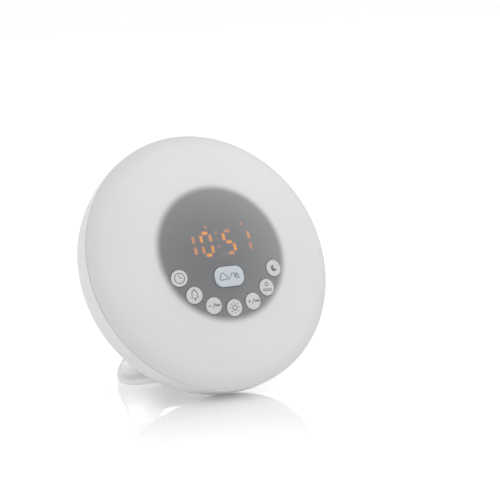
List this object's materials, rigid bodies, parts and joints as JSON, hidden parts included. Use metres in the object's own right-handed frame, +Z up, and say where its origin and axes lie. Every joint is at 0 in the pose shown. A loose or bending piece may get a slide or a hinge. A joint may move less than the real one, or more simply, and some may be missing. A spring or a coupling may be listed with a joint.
{
  "type": "sunrise alarm clock",
  "caption": "Round bedside light with a domed diffuser, clock display and push buttons behind it, a rear speaker grille and a folding stand.",
  "frame": {"origin": "middle of the bounding box at table level", "axes": "+Z up, the face looks towards -Y and leans back, +X to the right as seen from the front"},
  "size_m": [0.175, 0.095, 0.1643],
  "materials": {
    "dome": "translucent satin",
    "casing": "smooth semi-gloss white",
    "cap": "satin light grey",
    "mask": "satin grey",
    "black": "black",
    "amber": "clear amber",
    "board": "green lacquer",
    "white_board": "white lacquer",
    "lamp": "clear yellow",
    "steel": "plated",
    "foam": "foam",
    "paper": "pressed paper",
    "ferrite": "dull dark grey",
    "inner": "matt white"
  },
  "bodies": {
    "clock": {"front_diffuser": "dome", "rear_casing": "casing", "speaker_grille": "casing", "hinge_pins": "steel", "display_mask": "mask", "display_digits": "amber", "display_module": "black", "main_board": "board", "tact_switches": "black", "board_screws": "steel", "mask_screws": "steel", "reflector": "inner", "reflector_screws": "steel", "light_board": "white_board", "light_leds": "lamp", "speaker_gasket": "foam", "speaker_frame": "black", "speaker_cone": "paper", "speaker_magnet": "ferrite", "speaker_screws": "steel", "inlet_board": "board", "usb_socket": "steel", "battery_tray": "inner", "battery_springs": "steel", "battery_contacts": "steel"},
    "button_clock": {"button_clock": "cap"},
    "button_alarm": {"button_alarm": "cap"},
    "button_minus": {"button_minus": "cap"},
    "button_light": {"button_light": "cap"},
    "button_plus": {"button_plus": "cap"},
    "button_mode": {"button_mode": "cap"},
    "button_sleep": {"button_sleep": "cap"},
    "button_snooze": {"button_snooze": "cap"},
    "battery_door": {"battery_door": "casing"},
    "stand": {"stand": "casing"}
  },
  "joints": [
    {"name": "button_clock_press", "type": "slide", "parent": "clock", "child": "button_clock", "axis": [0, 0.9063, -0.4226], "range_m": [0, 0.0006], "stiffness_N_per_m": 500, "springref_m": -0.001},
    {"name": "button_alarm_press", "type": "slide", "parent": "clock", "child": "button_alarm", "axis": [0, 0.9063, -0.4226], "range_m": [0, 0.0006], "stiffness_N_per_m": 500, "springref_m": -0.001},
    {"name": "button_minus_press", "type": "slide", "parent": "clock", "child": "button_minus", "axis": [0, 0.9063, -0.4226], "range_m": [0, 0.0006], "stiffness_N_per_m": 500, "springref_m": -0.001},
    {"name": "button_light_press", "type": "slide", "parent": "clock", "child": "button_light", "axis": [0, 0.9063, -0.4226], "range_m": [0, 0.0006], "stiffness_N_per_m": 500, "springref_m": -0.001},
    {"name": "button_plus_press", "type": "slide", "parent": "clock", "child": "button_plus", "axis": [0, 0.9063, -0.4226], "range_m": [0, 0.0006], "stiffness_N_per_m": 500, "springref_m": -0.001},
    {"name": "button_mode_press", "type": "slide", "parent": "clock", "child": "button_mode", "axis": [0, 0.9063, -0.4226], "range_m": [0, 0.0006], "stiffness_N_per_m": 500, "springref_m": -0.001},
    {"name": "button_sleep_press", "type": "slide", "parent": "clock", "child": "button_sleep", "axis": [0, 0.9063, -0.4226], "range_m": [0, 0.0006], "stiffness_N_per_m": 500, "springref_m": -0.001},
    {"name": "button_snooze_press", "type": "slide", "parent": "clock", "child": "button_snooze", "axis": [0, 0.9063, -0.4226], "range_m": [0, 0.0006], "stiffness_N_per_m": 500, "springref_m": -0.001},
    {"name": "battery_door_tilt", "type": "hinge", "parent": "clock", "child": "battery_door", "pos_m": [-0.04486, -0.00839, 0.02775], "axis": [0, -0.5773, -0.8165], "range_deg": [-12, 0]},
    {"name": "stand_hinge", "type": "hinge", "parent": "clock", "child": "stand", "pos_m": [0, 0.00559, 0.05099], "axis": [-1, 0, 0], "range_deg": [0, 46]}
  ]
}
